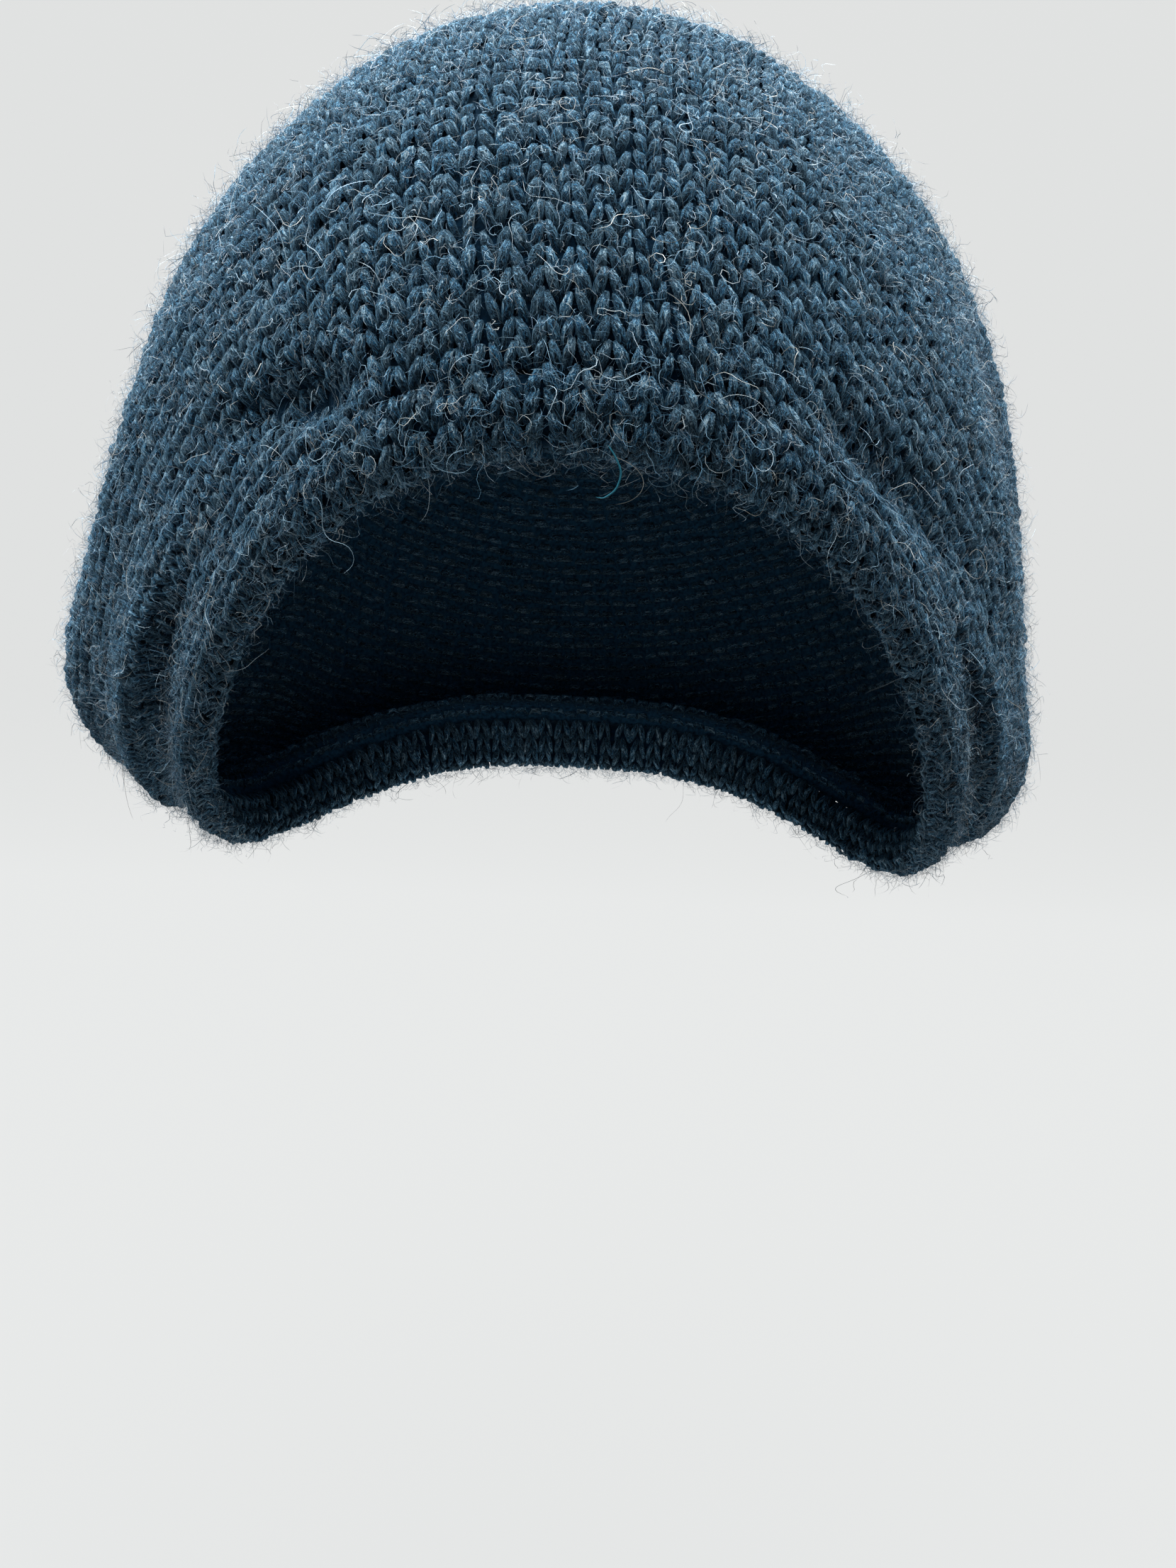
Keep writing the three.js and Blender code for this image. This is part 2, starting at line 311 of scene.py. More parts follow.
WEDGES = 10  # of the crown's top, each losing stitches steadily towards the closing
WEDGE_STITCHES = 16
CROWN_ROWS = 63
FIRST_DECREASE = 24
LAST_STITCHES = 0.9  # in a wedge, where the bag closes
HEM_COLUMNS = 125
HEM_ROWS = 8
ROW = 4.1  # usual height of a row
STITCH = 5.35  # usual width of a stitch, and its width over the brow
BROW = np.radians(50)  # how far round the fabric is stretched over the brow
TWIST_PITCH = 26.0  # length of yarn in which its fibres turn once
FOOT_RAISE = 0.05  # how far every stitch is raised, in rows
SLIMMEST, FATTEST = 0.72, 1.08  # limits of a strand's girth, next to the usual, in tight columns
CLOSING_CLEAR = 0.5  # how far below the closing the last row ends

# Standard deviations of chance: of a stitch's place and of each of its legs' places, across in
# stitch widths, along in rows and height, and of a strand's girth as a share
STITCH_SPREAD = (0.03, 0.07, 0.2)
LEG_SPREAD = (0.025, 0.05, 0.15)
GIRTH_SPREAD = 0.11

# How the columns wander sideways round the hat, as in hand-tensioned knitting: how far in stitch
# widths, waves in a turn, rows to a wave (- where it leans the other way), phase
WANDER = ((0.10, 5, 37, 0), (0.07, 13, -23, 0), (0.05, 29, 11, 0.3))

# A leg of a stitch, mirrored for the other leg: across in stitch widths from the stitch's
# middle, along in rows up from its foot, height off the outer surface, radius, and how open it
# is to light, from 0 to 1, which the yarn's colour takes as painted shade, dark at the foot and
# ends
LEG = np.array([
    (0.05, -0.44, -3.3, 0.0, 0.1),
    (0.13, 0.00, -1.75, 0.92, 0.3),
    (0.26, 0.54, -0.90, 1.10, 0.95),
    (0.38, 1.08, -1.65, 0.80, 0.8),
    (0.43, 1.38, -3.3, 0.0, 0.2),
])
MIRROR = np.array([-1, 1, 1, 1, 1])

# The bump that a stitch shows on the inside, from its left to its right, in the same columns: its
# last is painted shade, darker at the bump's ends
PURL = np.array([
    (-0.60, 0.60, -1.9, 0.0, 0.1),
    (-0.26, 0.92, -3.0, 1.2, 0.9),
    (0.26, 0.92, -3.0, 1.2, 0.9),
    (0.60, 0.60, -1.9, 0.0, 0.1),
])


def wedge_stitches(row):
    """Stitches in a wedge at a row, falling steadily from the first decrease to the closing."""
    share = (row - FIRST_DECREASE) / (CROWN_ROWS - FIRST_DECREASE)
    return WEDGE_STITCHES + (LAST_STITCHES - WEDGE_STITCHES) * np.clip(share, 0, 1)


def crown_stitches():
    """Wedge, place in the wedge and row of every stitch of the crown."""
    found = []
    for row in range(CROWN_ROWS):
        for place in range(WEDGE_STITCHES):
            if place + 0.5 <= wedge_stitches(row + 0.5):
                found += [(wedge, place, row) for wedge in range(WEDGES)]
    return np.array(found, float)


def share_run(lines):
    """How far along each line its points are, as shares of its length."""
    run = np.cumsum(np.linalg.norm(np.diff(lines, axis=1), axis=-1), axis=1)
    run = np.concatenate([np.zeros((len(lines), 1)), run], 1)
    return run / run[:, -1:]


def brow_gathering(loops, side):
    """Steps of the loops, counted up at the sides so that over the brow a stitch has its width."""
    steps = np.linalg.norm(np.diff(loops, axis=1), axis=-1)
    away = 1 - np.exp(-((side[1:] + np.pi) % TURN - np.pi) ** 2 / BROW ** 2)
    wanted = STITCH * WEDGES * WEDGE_STITCHES
    extra = (wanted - steps.sum(1)) / (steps * away).sum(1)
    widest = steps.sum(1).argmax()
    extra = np.where(np.arange(len(loops)) < widest, np.maximum(extra, 0), 0)
    run = np.cumsum(steps * (1 + extra[:, None] * away), axis=1)
    run = np.concatenate([np.zeros((len(loops), 1)), run], 1)
    return run / run[:, -1:]


def even_grid():
    """Side and up at even steps of cloth: round every loop, then up every column."""
    turns, rows = 361, 241
    fine_side = np.linspace(0, TURN, 1081)
    up = np.linspace(HEM_HEIGHT, CLOSING_UP - CLOSING_CLEAR, rows)
    turn = np.linspace(0, 1, turns)
    loops = crown_place(fine_side[None], up[:, None], np.zeros((rows, len(fine_side))))
    runs = brow_gathering(loops, fine_side)
    side = np.array([np.interp(turn, run, fine_side) for run in runs])
    columns = crown_place(side, up[:, None], np.zeros(side.shape))
    run = share_run(columns.transpose(1, 0, 2))
    share = np.linspace(0, 1, rows)
    even_up = np.array([np.interp(share, r, up) for r in run]).T
    even_side = np.array([np.interp(share, r, side[:, k]) for k, r in enumerate(run)]).T
    hem_side = np.interp(turn, share_run(loops[:1])[0], fine_side)
    return np.stack([even_side, even_up], -1), turn, hem_side


EVEN, EVEN_TURN, HEM_SIDE = even_grid()
CROWN_COLUMNS = WEDGES * WEDGE_STITCHES
COLUMN_SHIFT = chance.normal(0, 0.035, CROWN_COLUMNS)  # in stitch widths
COLUMN_OPEN = chance.normal(1, 0.06, CROWN_COLUMNS)  # how far a column's legs stand apart


def even_place(turn, share):
    """Side and up at a share of a turn and a share of the way up the cloth."""
    rows, turns = EVEN.shape[:2]
    whole = np.floor(turn)
    x = (turn - whole) * (turns - 1)
    y = np.clip(share, 0, 1) * (rows - 1)
    i = np.minimum(x.astype(int), turns - 2)
    j = np.minimum(y.astype(int), rows - 2)
    u, v = (x - i)[..., None], (y - j)[..., None]
    low = EVEN[j, i] * (1 - u) + EVEN[j, i + 1] * u
    high = EVEN[j + 1, i] * (1 - u) + EVEN[j + 1, i + 1] * u
    found = low * (1 - v) + high * v
    return found[..., 0] + whole * TURN, found[..., 1]


def wander(turn, row):
    """How far a column wanders sideways, in stitch widths."""
    return sum(
        width * np.sin(TURN * (waves * turn + row / rows + phase))
        for width, waves, rows, phase in WANDER
    )


class CrownPlacing:
    """Places points of the crown's stitches on its fabric."""

    def __init__(self, stitches):
        self.wedge, self.place, self.row = (stitches[:, k, None] for k in range(3))
        column = (self.wedge * WEDGE_STITCHES + self.place).astype(int)
        self.shift, self.open = COLUMN_SHIFT[column], COLUMN_OPEN[column]

    def __call__(self, across, along, height):
        row = np.minimum(self.row + along + FOOT_RAISE, CROWN_ROWS)
        stitches = wedge_stitches(row)
        place = self.place + 0.5 + self.shift + across * self.open
        turn = (self.wedge + place / stitches) / WEDGES
        turn = turn - 0.5 / WEDGES + wander(turn, row) / (stitches * WEDGES)
        side, up = even_place(turn, row / CROWN_ROWS)
        up = up + np.minimum(row, 0) * ROW  # the first row's feet reach behind the hem
        return crown_place(side, up, height)


class HemPlacing:
    """Places points of the hem's stitches along its folded section."""

    def __init__(self, stitches):
        self.column, self.row = (stitches[:, k, None] for k in range(2))
        column = self.column.astype(int)
        self.shift, self.open = COLUMN_SHIFT[column], COLUMN_OPEN[column]

    def __call__(self, across, along, height):
        row = self.row + along + FOOT_RAISE
        turn = (self.column + 0.5 + self.shift + across * self.open) / HEM_COLUMNS
        turn = turn + wander(turn, 0) / HEM_COLUMNS
        side = np.interp(turn, EVEN_TURN, HEM_SIDE)
        side = np.where((turn < 0) | (turn > 1), turn * TURN, side)
        return hem_place(side, row * HEM_LENGTH / HEM_ROWS, height)


def stitch_size(placing, count):
    """How wide each stitch is, next to the usual width."""
    zero = np.zeros((count, 1))
    left, right = placing(zero - 0.5, zero + 0.5, zero), placing(zero + 0.5, zero + 0.5, zero)
    return np.clip(np.linalg.norm(right - left, axis=-1)[:, 0] / STITCH, SLIMMEST, FATTEST)


def lay(placing, shape, across, along, height):
    """Centres and raised directions of a strand of this shape at every stitch."""
    a = shape[None, :, 0] + across[:, None]
    b = shape[None, :, 1] + along[:, None]
    h = shape[None, :, 2] + height[:, None]
    return placing(a, b, h), unit(placing(a, b, h + 0.5) - placing(a, b, h - 0.5))


def strand_tint(count, painted_shade):
    """For every point: its strand's chance lightness and greyness, and its painted shade, how open
    to light it is.
    """
    tint = np.empty((count, len(painted_shade), 3))
    tint[..., 0] = np.clip(chance.normal(0.5, 0.22, count), 0, 1)[:, None]
    tint[..., 1] = chance.beta(1.5, 2.0, count)[:, None]
    tint[..., 2] = painted_shade
    return tint.reshape(-1, 3)


def merged(parts):
    """One set of points and faces from several."""
    first, points, quads, triangles = 0, [], [], []
    for part_points, part_quads, part_triangles in parts:
        points.append(part_points)
        quads.append(part_quads + first)
        triangles.append(part_triangles + first)
        first += len(part_points)
    return np.concatenate(points), np.concatenate(quads), np.concatenate(triangles)


def knit(name, placing, count, shapes, facing, material):
    """A piece made of the same strands at every stitch, facing outwards (1) or inwards (-1)."""
    size = stitch_size(placing, count)
    shifts = [chance.normal(0, spread, count) for spread in STITCH_SPREAD]
    parts, places, tints = [], [], []
    for shape in shapes:
        leg_shifts = [
            shift + chance.normal(0, spread, count) for shift, spread in zip(shifts, LEG_SPREAD)
        ]
        centres, raised = lay(placing, shape, *leg_shifts)
        radii = shape[None, :, 3] * (size * chance.normal(1, GIRTH_SPREAD, count))[:, None]
        points, quads, triangles, ring_of, painted_openness_of, cross = half_strands(
            centres, radii, raised * facing,
        )
        parts.append((points, quads, triangles))
        places.append(strand_coordinates(centres, ring_of, cross, TWIST_PITCH))
        tints.append(strand_tint(count, shape[ring_of, 4] * painted_openness_of))
    points, quads, triangles = merged(parts)
    return dress(add_mesh(
        name, points, quads, triangles, material,
        [("strand", np.concatenate(places))], [("tint", np.concatenate(tints))],
    ))


# ---------------------------------------------------------------- the cloth behind the stitches

CLOTH_COLUMNS = 110
CLOTH_OUTER, CLOTH_INNER = -2.0, -2.6  # heights of its two faces


def loop_quads(rows, columns):
    """Quads of a grid of closed loops whose last row joins its first."""
    row = np.arange(rows)[:, None]
    column = np.arange(columns)[None]
    after, above = (column + 1) % columns, (row + 1) % rows
    corners = [row * columns + column, row * columns + after,
               above * columns + after, above * columns + column]
    return np.stack(corners, -1).reshape(-1, 4)


def crown_cloth(material):
    """The body of the crown's fabric, between its outer and inner stitches: near-black outside with
    painted shade, lighter inside with painted light.
    """
    columns, rows = CLOTH_COLUMNS, 44
    side = np.arange(columns) / columns * TURN
    up = np.linspace(HEM_HEIGHT + 0.5, CLOSING_UP - 1.5, rows)
    outer = crown_place(side[None], up[:, None], np.full((rows, columns), CLOTH_OUTER))
    inner = crown_place(side[None], up[::-1, None], np.full((rows, columns), CLOTH_INNER))
    points = np.concatenate([outer.reshape(-1, 3), inner.reshape(-1, 3)])
    # 1 on the inner face, which the cloth's material paints lighter as painted light
    inside = np.repeat([0.0, 1.0], rows * columns)[:, None] * np.ones(3)
    return add_mesh(
        "crown_cloth", points, loop_quads(2 * rows, columns), [], material, (), [("tint", inside)],
    )


def hem_cloth(material):
    """The body of the folded hem, near-black with painted shade."""
    columns, rings = CLOTH_COLUMNS, 16
    side = np.arange(columns) / columns * TURN
    run = np.linspace(0, HEM_LENGTH, rings)
    points = hem_place(side[None], run[:, None], np.full((rings, columns), CLOTH_OUTER))
    return add_mesh("hem_cloth", points.reshape(-1, 3), loop_quads(rings, columns), [], material)


# ---------------------------------------------------------------- loose fibres

HEM_SHARE = 0.13  # of all fibres, those on the hem
HEM_OUTSIDE = (0.42, 1.0)  # the part of the hem's section that faces outwards, as shares
ROOT_DEPTHS = (-0.2, 0.9)  # how deep in the yarn fibres start
HEADING_SPREAD = 0.9  # how far they stray from the way of the columns, in radians
SETTLES = (0.2, 0.9)  # how far their rise turns back to the cloth, in half turns
SWINGS = 1.5  # times that a fibre's curl swings to and fro along it
LENGTH_CHANCE = (1.4, 2.6)  # of the beta distribution, in which short fibres are commoner
WIDTH_SHARES = (0.7, 1.3)  # least and greatest width, next to the kind's half width
TAPER = (1.2, 0.6)  # width at the root and at the tip, next to the fibre's own

# Kinds of loose fibre: piece, count, half width, shortest and longest, least and greatest rise
# off the cloth, bend and curl (all three in radians), rings, lightness
FUZZ = (
    ("fuzz_short", 42000, 0.032, (2, 5.5), (0.1, 1.0), 2.2, 0.25, 4, 0.3),
    ("fuzz_middle", 32000, 0.032, (3, 9), (0.1, 1.0), 3.2, 0.5, 5, 0.4),
    ("fuzz_curled", 11500, 0.042, (5, 14), (0.1, 0.8), 5.0, 0.9, 10, 0.55),
    ("fuzz_loops", 2000, 0.052, (6, 15), (0.1, 0.9), 6.5, 0.9, 10, 0.8),
    ("fuzz_long", 350, 0.048, (10, 26), (0.1, 0.5), 5.0, 0.9, 20, 0.7),
)

# The loose end that hangs in front of the rim, from its top: x, z
RIM_CURL = np.array([
    (4.5, 57.0), (5.9, 55.0), (6.8, 52.7), (6.3, 50.6), (5.2, 49.4), (4.0, 48.8), (3.0, 48.9),
])
RIM_CURL_Y = -93.2
RIM_CURL_RADIUS = 0.16


def fibre_tint(count, light):
    """Chance lightness and greyness of each fibre, both from 0 to 1. Light ones are greyer."""
    return np.stack([
        np.clip(chance.normal(light, 0.22, count), 0, 1),
        (chance.uniform(0, 1, count) < 0.8 * light) * chance.uniform(0.5, 1, count),
        np.zeros(count),
    ], -1)


def turned(raised, count):
    """Raised directions leaned over by chance, so that fibres don't all face outwards."""
    lean = chance.normal(0, 0.6, (count, 1, 3))
    return unit(raised + lean)


def scatter(count):
    """Sides and ups spread evenly over the crown's area."""
    up_grid = np.linspace(HEM_HEIGHT, CLOSING_UP - 2, 120)
    side_grid = np.linspace(0, TURN, 181)
    surface = crown_place(side_grid[None], up_grid[:, None], np.zeros((120, 181)))
    span_up = np.diff(surface, axis=0)[:, :-1]
    span_side = np.diff(surface, axis=1)[:-1]
    area = np.linalg.norm(np.cross(span_up, span_side), axis=-1)
    cells = chance.choice(area.size, count, p=(area / area.sum()).ravel())
    row, column = np.divmod(cells, area.shape[1])
    side = side_grid[column] + chance.uniform(size=count) * (side_grid[1] - side_grid[0])
    up = up_grid[row] + chance.uniform(size=count) * (up_grid[1] - up_grid[0])
    return side, up


def fibre_paths(place, side, up, depth, heading, rise, settle, bend, curl, phase, length, rings):
    """Centres of curling fibres that start in the yarn. Angles are in radians round the normal."""
    step_side = 0.004
    level = np.zeros(len(side))
    base = place(side, up, -depth)
    across = unit(place(side + step_side, up, level) - place(side - step_side, up, level))
    normal = unit(place(side, up, level + 1) - place(side, up, level))
    along = np.cross(normal, across)
    s = np.linspace(0, 1, rings)[None]
    swing = np.sin(TURN * (SWINGS * s + phase[:, None]))
    angle = heading[:, None] + bend[:, None] * s + curl[:, None] * swing
    tilt = rise[:, None] * np.cos(np.pi * settle[:, None] * s)
    direction = (
        np.cos(angle)[..., None] * np.cos(tilt)[..., None] * across[:, None]
        + np.sin(angle)[..., None] * np.cos(tilt)[..., None] * along[:, None]
        + np.sin(tilt)[..., None] * normal[:, None]
    )
    steps = direction[:, :-1] * (length[:, None] / (rings - 1))[..., None]
    offsets = np.concatenate([np.zeros((len(side), 1, 3)), np.cumsum(steps, axis=1)], 1)
    return base[:, None] + offsets, normal


def fibres(name, count, half_width, lengths, rises, bends, curls, rings, light, material):
    """A piece of loose fibres scattered evenly over the outer fabric."""
    in_hem = chance.uniform(size=count) < HEM_SHARE
    side, up = scatter(count)
    up = np.where(in_hem, chance.uniform(*HEM_OUTSIDE, count) * HEM_LENGTH, up)
    values = (
        side, up, chance.uniform(*ROOT_DEPTHS, count),
        chance.choice((0.5, -0.5), count) * np.pi + chance.normal(0, HEADING_SPREAD, count),
        chance.uniform(*rises, count),
        chance.uniform(*SETTLES, count), chance.normal(0, bends, count),
        chance.normal(0, curls, count), chance.uniform(0, 1, count),
        lengths[0] + (lengths[1] - lengths[0]) * chance.beta(*LENGTH_CHANCE, count),
    )
    centres, normals = [], []
    for place, chosen in ((crown_place, ~in_hem), (hem_place, in_hem)):
        paths, normal = fibre_paths(place, *(v[chosen] for v in values), rings)
        centres.append(paths)
        normals.append(normal)
    centres = np.concatenate(centres)
    raised = np.repeat(np.concatenate(normals)[:, None], rings, axis=1)
    half = half_width * chance.uniform(*WIDTH_SHARES, (count, 1)) * np.linspace(*TAPER, rings)
    points, quads, triangles, each = ribbons(centres, half, turned(raised, count))
    tint = np.repeat(fibre_tint(count, light), each, axis=0)
    return dress(add_mesh(name, points, quads, triangles, material, (), [("tint", tint)]))


def rim_curl():
    """A loose end of brighter blue fibres that hangs from the rim over the forehead."""
    rings = 25
    step = np.arange(len(RIM_CURL), dtype=float)
    x, z = smooth_curve(
        step, RIM_CURL, smooth_slopes(step, RIM_CURL), np.linspace(0, step[-1], rings),
    ).T
    centres = np.stack([x, np.full(rings, RIM_CURL_Y), z], -1)[None]
    radii = RIM_CURL_RADIUS * np.sin(np.linspace(0.25, 0.9, rings) * np.pi)[None]
    facing = np.broadcast_to([0.0, -1.0, 0.0], centres.shape)
    points, quads, triangles, _, _, _ = half_strands(centres, radii, facing)
    n = Nodes("bright_fibre")
    n.join((*srgb(48, 146, 172), 1), n.shader.inputs["Base Color"])
    n.join(0.6, n.shader.inputs["Roughness"])
    dress(add_mesh("rim_curl", points, quads, triangles, n.material))


# ---------------------------------------------------------------- materials

class Nodes:
    """Short names for making and linking a material's nodes."""

    def __init__(self, name):
        self.material = bpy.data.materials.new(name)
        self.material.use_nodes = True
        self.tree = self.material.node_tree
        self.shader = self.tree.nodes["Principled BSDF"]

    def add(self, kind, inputs=(), **settings):
        node = self.tree.nodes.new(kind)
        for key, value in settings.items():
            setattr(node, key, value)
        for socket, value in dict(inputs).items():
            self.join(value, node.inputs[socket])
        return node

    def join(self, value, socket):
        if isinstance(value, bpy.types.NodeSocket):
            self.tree.links.new(value, socket)
        else:
            socket.default_value = value

    def attribute(self, name):
        return self.add("ShaderNodeAttribute", attribute_name=name)

    def maths(self, operation, a, b=0.0, c=0.0):
        node = self.add("ShaderNodeMath", {0: a, 1: b, 2: c}, operation=operation)
        return node.outputs[0]

    def scaled(self, vector, scale):
        node = self.add("ShaderNodeVectorMath", {0: vector, 1: scale}, operation="MULTIPLY")
        return node.outputs[0]

    def noise(self, vector, scale, detail=2.0, roughness=0.5):
        node = self.add("ShaderNodeTexNoise", {
            "Vector": vector, "Scale": scale, "Detail": detail, "Roughness": roughness,
        })
        return node.outputs["Fac"]

    def ramp(self, factor, stops):
        node = self.add("ShaderNodeValToRGB", {"Fac": factor})
        elements = node.color_ramp.elements
        while len(elements) < len(stops):
            elements.new(0.5)
        for element, (position, colour) in zip(elements, stops):
            element.position = position
            element.color = (*colour, 1)
        return node.outputs["Color"]

    def mix(self, factor, a, b):
        node = self.add("ShaderNodeMix", data_type="RGBA")
        for socket, value in ((0, factor), (6, a), (7, b)):
            self.join(value, node.inputs[socket])
        return node.outputs[2]


def srgb(red, green, blue):
    """A colour as read off a picture, 0 to 255, in the linear values that shaders take."""
    return tuple(
        c / 255 / 12.92 if c / 255 <= 0.04045 else ((c / 255 + 0.055) / 1.055) ** 2.4
        for c in (red, green, blue)
    )


BLACK_BLUE = srgb(2, 16, 30)
NAVY = srgb(8, 44, 72)
DEEP_BLUE = srgb(26, 84, 122)
MID_BLUE = srgb(66, 134, 174)
PALE_BLUE = srgb(132, 178, 204)
FROST = srgb(188, 212, 224)
TAUPE = srgb(98, 124, 140)
DARK_GREY = srgb(18, 36, 48)
CREAM = srgb(210, 210, 198)
SHEEN = srgb(120, 164, 190)

# Sets of fine hairs drawn on the wool: scale of the noise that they follow, width as a share of it
HAIR_LINES = ((420.0, 0.016), (640.0, 0.020), (300.0, 0.010))


def hair_lines(n, where, scale, width):
    """Thin curling lines, as fine hairs lying on the wool: where a smooth noise is one half."""
    noise = n.noise(where, scale, 1.0, 0.4)
    off = n.maths("ABSOLUTE", n.maths("SUBTRACT", noise, 0.5))
    node = n.add("ShaderNodeMapRange", {
        "Value": off, "From Min": width * 0.35, "From Max": width, "To Min": 1.0, "To Max": 0.0,
    })
    return node.outputs["Result"]


def yarn_material():
    """Heathered wool: fibres of several blues and greys that lie along a twisted strand, with
    painted shade that darkens each strand towards its feet, ends and sides.
    """
    n = Nodes("heathered_wool")
    strand = n.attribute("strand").outputs["Vector"]
    tint = n.add("ShaderNodeSeparateColor", {"Color": n.attribute("tint").outputs["Color"]})
    lightness, greyness, painted_shade = (tint.outputs[k] for k in ("Red", "Green", "Blue"))
    where = n.add("ShaderNodeNewGeometry").outputs["Position"]
    stray = n.add("ShaderNodeTexNoise", {"Vector": where, "Scale": 700.0, "Detail": 1.0})
    stray = n.add("ShaderNodeVectorMath", {0: stray.outputs["Color"], 1: (0.5, 0.5, 0.5)},
                  operation="SUBTRACT").outputs[0]
    strand = n.add("ShaderNodeVectorMath", {0: n.scaled(stray, (0.6, 1.1, 1.1)), 1: strand},
                   operation="ADD").outputs[0]
    fine = n.noise(n.scaled(strand, (0.30, 3.9, 3.9)), 1.0, 2.0, 0.65)
    broad = n.noise(n.scaled(strand, (0.16, 1.3, 1.3)), 1.0, 1.0)
    grey = n.noise(n.scaled(strand, (0.2, 2.4, 2.4)), 1.0, 1.0)
    level = n.maths("MULTIPLY_ADD", fine, 3.9, -1.59)
    # painted shade: the yarn is darker where its strand is less open to light
    for source, middle, weight in ((broad, 0.5, 1.2), (lightness, 0.5, 0.32), (painted_shade, 1.0, 0.42)):
        level = n.maths("MULTIPLY_ADD", n.maths("SUBTRACT", source, middle), weight, level)
    blues = n.ramp(level, [
        (0.05, BLACK_BLUE), (0.28, NAVY), (0.46, DEEP_BLUE), (0.62, MID_BLUE),
        (0.80, PALE_BLUE), (0.98, FROST),
    ])
    greys = n.ramp(level, [(0.1, DARK_GREY), (0.62, TAUPE), (0.98, FROST)])
    share = n.maths("MULTIPLY_ADD", greyness, 1.3, n.maths("MULTIPLY_ADD", grey, 2.6, -1.68))
    share = n.add("ShaderNodeClamp", {"Value": share}).outputs[0]
    colour = n.mix(share, blues, greys)
    hairs = 0.0
    for scale, width in HAIR_LINES:
        hairs = n.maths("MAXIMUM", hairs, hair_lines(n, where, scale, width))
    # the fine hairs also fade where the painted shade is
    hair_share = n.maths("MULTIPLY", hairs, n.maths("MULTIPLY", painted_shade, 0.32))
    colour = n.mix(hair_share, colour, (*PALE_BLUE, 1))
    n.join(colour, n.shader.inputs["Base Color"])
    n.join(0.8, n.shader.inputs["Roughness"])
    n.join(0.06, n.shader.inputs["Specular IOR Level"])
    n.join(1.0, n.shader.inputs["Sheen Weight"])
    n.join(0.45, n.shader.inputs["Sheen Roughness"])
    n.join((*SHEEN, 1), n.shader.inputs["Sheen Tint"])
    relief = n.maths("MULTIPLY_ADD", hairs, 0.25, fine)
    bump = n.add("ShaderNodeBump", {"Height": relief, "Strength": 0.9, "Distance": 0.0009})
    n.join(bump.outputs["Normal"], n.shader.inputs["Normal"])
    return n.material


def cloth_material():
    """The wool between and behind the stitches: near-black outside as painted shade, so the gaps
    look deep, and lighter inside as painted light, so the purl side shows in the unlit bag.
    """
    n = Nodes("shaded_wool")
    where = n.add("ShaderNodeNewGeometry").outputs["Position"]
    noise = n.noise(where, 900.0, 3.0)
    # painted shade on the outer face, painted light on the inner face
    outside = n.ramp(noise, [(0.3, srgb(2, 18, 32)), (0.7, srgb(10, 42, 66))])
    inside = n.ramp(noise, [(0.3, srgb(20, 50, 74)), (0.7, srgb(56, 104, 136))])
    colour = n.mix(n.attribute("tint").outputs["Fac"], outside, inside)
    n.join(colour, n.shader.inputs["Base Color"])
    n.join(0.95, n.shader.inputs["Roughness"])
    n.join(0.03, n.shader.inputs["Specular IOR Level"])
    n.join(0.5, n.shader.inputs["Sheen Weight"])
    n.join((*SHEEN, 1), n.shader.inputs["Sheen Tint"])
    bump = n.add("ShaderNodeBump", {"Height": noise, "Strength": 0.6, "Distance": 0.0005})
    n.join(bump.outputs["Normal"], n.shader.inputs["Normal"])
    return n.material


def fibre_material():
    """Single fibres, blue, grey or cream by chance."""
    n = Nodes("loose_fibre")
    tint = n.add("ShaderNodeSeparateColor", {"Color": n.attribute("tint").outputs["Color"]})
    blues = n.ramp(tint.outputs["Red"], [
        (0.0, DEEP_BLUE), (0.25, MID_BLUE), (0.6, PALE_BLUE), (1.0, FROST),
    ])
    greys = n.ramp(tint.outputs["Red"], [(0.0, TAUPE), (0.5, srgb(150, 164, 172)), (0.95, CREAM)])
    colour = n.mix(tint.outputs["Green"], blues, greys)
    n.join(colour, n.shader.inputs["Base Color"])
    n.join(0.55, n.shader.inputs["Roughness"])
    n.join(0.5, n.shader.inputs["Sheen Weight"])
    return n.material


# ---------------------------------------------------------------- the hat

YARN = yarn_material()
CLOTH = cloth_material()
FIBRE = fibre_material()

crown_nodes = [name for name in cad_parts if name.startswith("crown")]
dress(crown_cloth(CLOTH), *crown_nodes)
dress(hem_cloth(CLOTH), "hem")

stitches = crown_stitches()
hem_stitches = np.array([(c, r) for r in range(HEM_ROWS) for c in range(HEM_COLUMNS)], float)
ROW_BANDS = {"low": (0, 20), "middle": (20, 40), "top": (40, CROWN_ROWS)}
PAIR = [LEG, LEG * MIRROR]
for label, (first_row, end_row) in ROW_BANDS.items():
    chosen = stitches[(stitches[:, 2] >= first_row) & (stitches[:, 2] < end_row)]
    knit(f"stitches_{label}", CrownPlacing(chosen), len(chosen), PAIR, 1, YARN)
knit("stitches_hem", HemPlacing(hem_stitches), len(hem_stitches), PAIR, 1, YARN)
knit("stitches_inside", CrownPlacing(stitches), len(stitches), [PURL], -1, YARN)
for row in FUZZ:
    fibres(*row, FIBRE)
rim_curl()

# ---------------------------------------------------------------- stage, light and camera

# In metres
FLOOR = -0.326  # the surface that the photographed stand stands on
WALL_AT = 0.74
WALL_BEND = 0.12
WALL_TOP = 2.5
STAGE_REACH = 4.0  # of the floor to the front, and of the sweep to each side
ROOM_RADIUS = 8

# Disk lights: name, place, target, size, power
LIGHTS = (
    ("behind_above", (0, 0.5, 1.0), (0, 0.1, 0.05), 0.9, 9),
    ("from_the_floor", (0, 0, FLOOR + 0.01), (0, 0.02, 0.1), 0.35, 0.4),
    ("inside", (0, -0.02, -0.01), (0, 0.04, 0.1), 0.12, 0.03),
)

# The surroundings: the way to their brightest part, the cosine of the angle from it at which they
# are darkest, and how bright the darkest and brightest parts are
SKY_TOWARDS = (-0.14, 0.53, 0.835)
SKY_EDGE = 0.25
SKY_DARKEST, SKY_BRIGHTEST = 0.10, 6.3


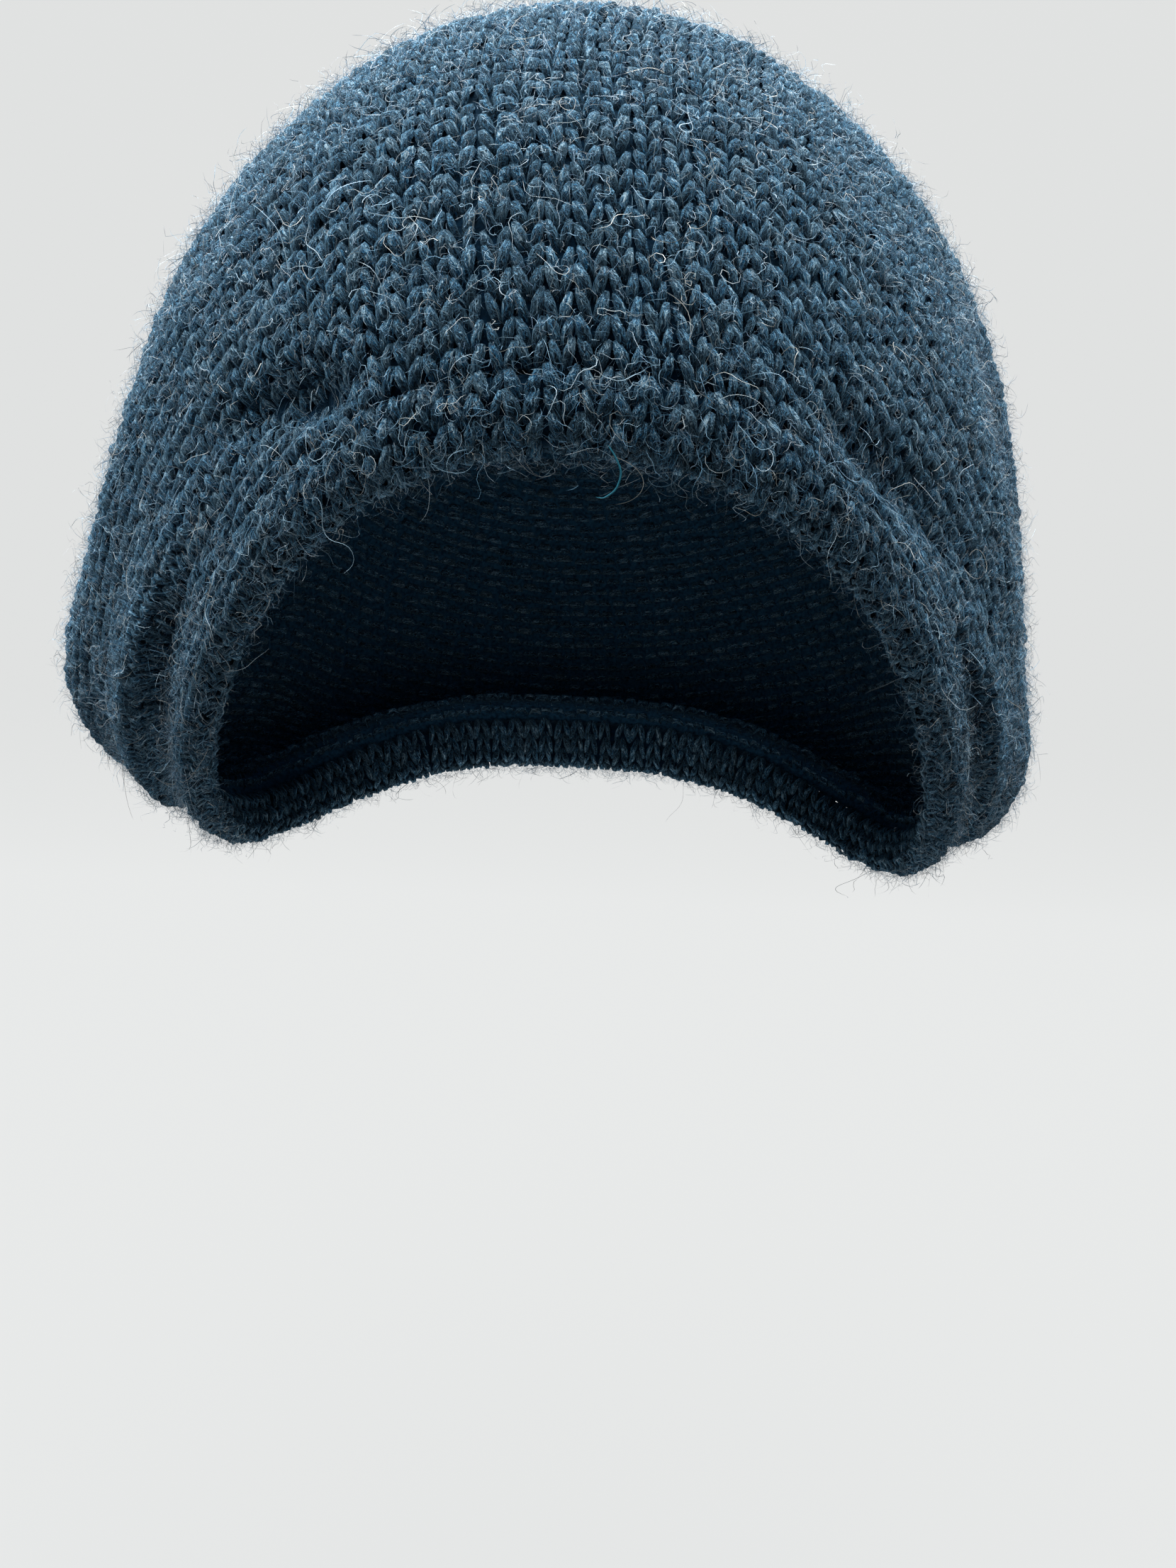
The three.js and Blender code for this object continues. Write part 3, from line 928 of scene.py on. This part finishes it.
def backdrop():
    """A pale sweep: a floor that bends up into a wall behind the hat, in a pale room."""
    bend = np.linspace(0, np.pi / 2, 13)
    profile = [(-STAGE_REACH, FLOOR)]
    profile += [(WALL_AT - WALL_BEND + WALL_BEND * np.sin(a), FLOOR + WALL_BEND * (1 - np.cos(a)))
                for a in bend]
    profile += [(WALL_AT, WALL_TOP)]
    points = [(x, y, z) for y, z in profile for x in (-STAGE_REACH, STAGE_REACH)]
    faces = [(2 * k, 2 * k + 1, 2 * k + 3, 2 * k + 2) for k in range(len(profile) - 1)]
    mesh = bpy.data.meshes.new("backdrop")
    mesh.from_pydata(points, [], faces)
    mesh.polygons.foreach_set("use_smooth", np.ones(len(faces), bool))
    sweep = bpy.data.objects.new("backdrop", mesh)
    bpy.context.scene.collection.objects.link(sweep)
    bpy.ops.mesh.primitive_uv_sphere_add(radius=ROOM_RADIUS)
    room = bpy.context.object
    room.name = "room"
    n = Nodes("backdrop_paper")
    n.join((0.02, 0.02, 0.02, 1), n.shader.inputs["Base Color"])
    n.join((0.985, 1.0, 0.995, 1), n.shader.inputs["Emission Color"])
    n.join(0.75, n.shader.inputs["Emission Strength"])
    n.join(0.0, n.shader.inputs["Specular IOR Level"])
    n.join(0.9, n.shader.inputs["Roughness"])
    for stage in (sweep, room):
        stage.data.materials.append(n.material)
        stage.visible_diffuse = stage.visible_glossy = stage.visible_shadow = False


def area_light(name, place, target, size, power):
    """A round soft light at a place, facing its target."""
    data = bpy.data.lights.new(name, "AREA")
    data.shape, data.size, data.energy = "DISK", size, power
    light = bpy.data.objects.new(name, data)
    light.location = place
    light.rotation_euler = (Vector(target) - Vector(place)).to_track_quat("-Z", "Y").to_euler()
    light.visible_camera = False
    bpy.context.scene.collection.objects.link(light)


def surroundings():
    """Soft light from everywhere, strongest from above and a little behind."""
    world = bpy.data.worlds.new("studio")
    world.use_nodes = True
    tree = world.node_tree
    background = tree.nodes["Background"]
    background.inputs["Color"].default_value = (0.95, 0.98, 1.0, 1)
    dot = tree.nodes.new("ShaderNodeVectorMath")
    dot.operation = "DOT_PRODUCT"
    dot.inputs[1].default_value = Vector(SKY_TOWARDS)
    tree.links.new(tree.nodes.new("ShaderNodeTexCoord").outputs["Generated"], dot.inputs[0])
    ramp = tree.nodes.new("ShaderNodeMapRange")
    ramp.interpolation_type = "SMOOTHSTEP"
    for socket, value in (
        ("From Min", SKY_EDGE), ("From Max", 1), ("To Min", SKY_DARKEST), ("To Max", SKY_BRIGHTEST),
    ):
        ramp.inputs[socket].default_value = value
    tree.links.new(dot.outputs["Value"], ramp.inputs["Value"])
    tree.links.new(ramp.outputs["Result"], background.inputs["Strength"])
    bpy.context.scene.world = world


def camera():
    """The photograph's view. Its image is 1659 x 2212 pixels."""
    image_height = 2212
    focal_pixels = 1800
    sensor = 36
    pitch, roll = np.radians(18.0), np.radians(-2.77)
    place = Vector((4, -298, 68)) * MM
    right = Vector((1, 0, 0))
    up = Vector((0, np.sin(pitch), np.cos(pitch)))
    image_right = right * np.cos(roll) - up * np.sin(roll)
    image_up = right * np.sin(roll) + up * np.cos(roll)
    back = image_right.cross(image_up)
    data = bpy.data.cameras.new("camera")
    data.sensor_fit = "AUTO"
    data.sensor_width = sensor
    data.lens = sensor * focal_pixels / image_height
    data.clip_start, data.clip_end = 0.01, 20
    eye = bpy.data.objects.new("camera", data)
    turn = Matrix((image_right, image_up, back)).transposed()
    eye.matrix_world = Matrix.Translation(place) @ turn.to_4x4()
    bpy.context.scene.collection.objects.link(eye)
    bpy.context.scene.camera = eye


backdrop()
for light in LIGHTS:
    area_light(*light)
surroundings()
camera()
bpy.context.scene.view_settings.view_transform = "Standard"
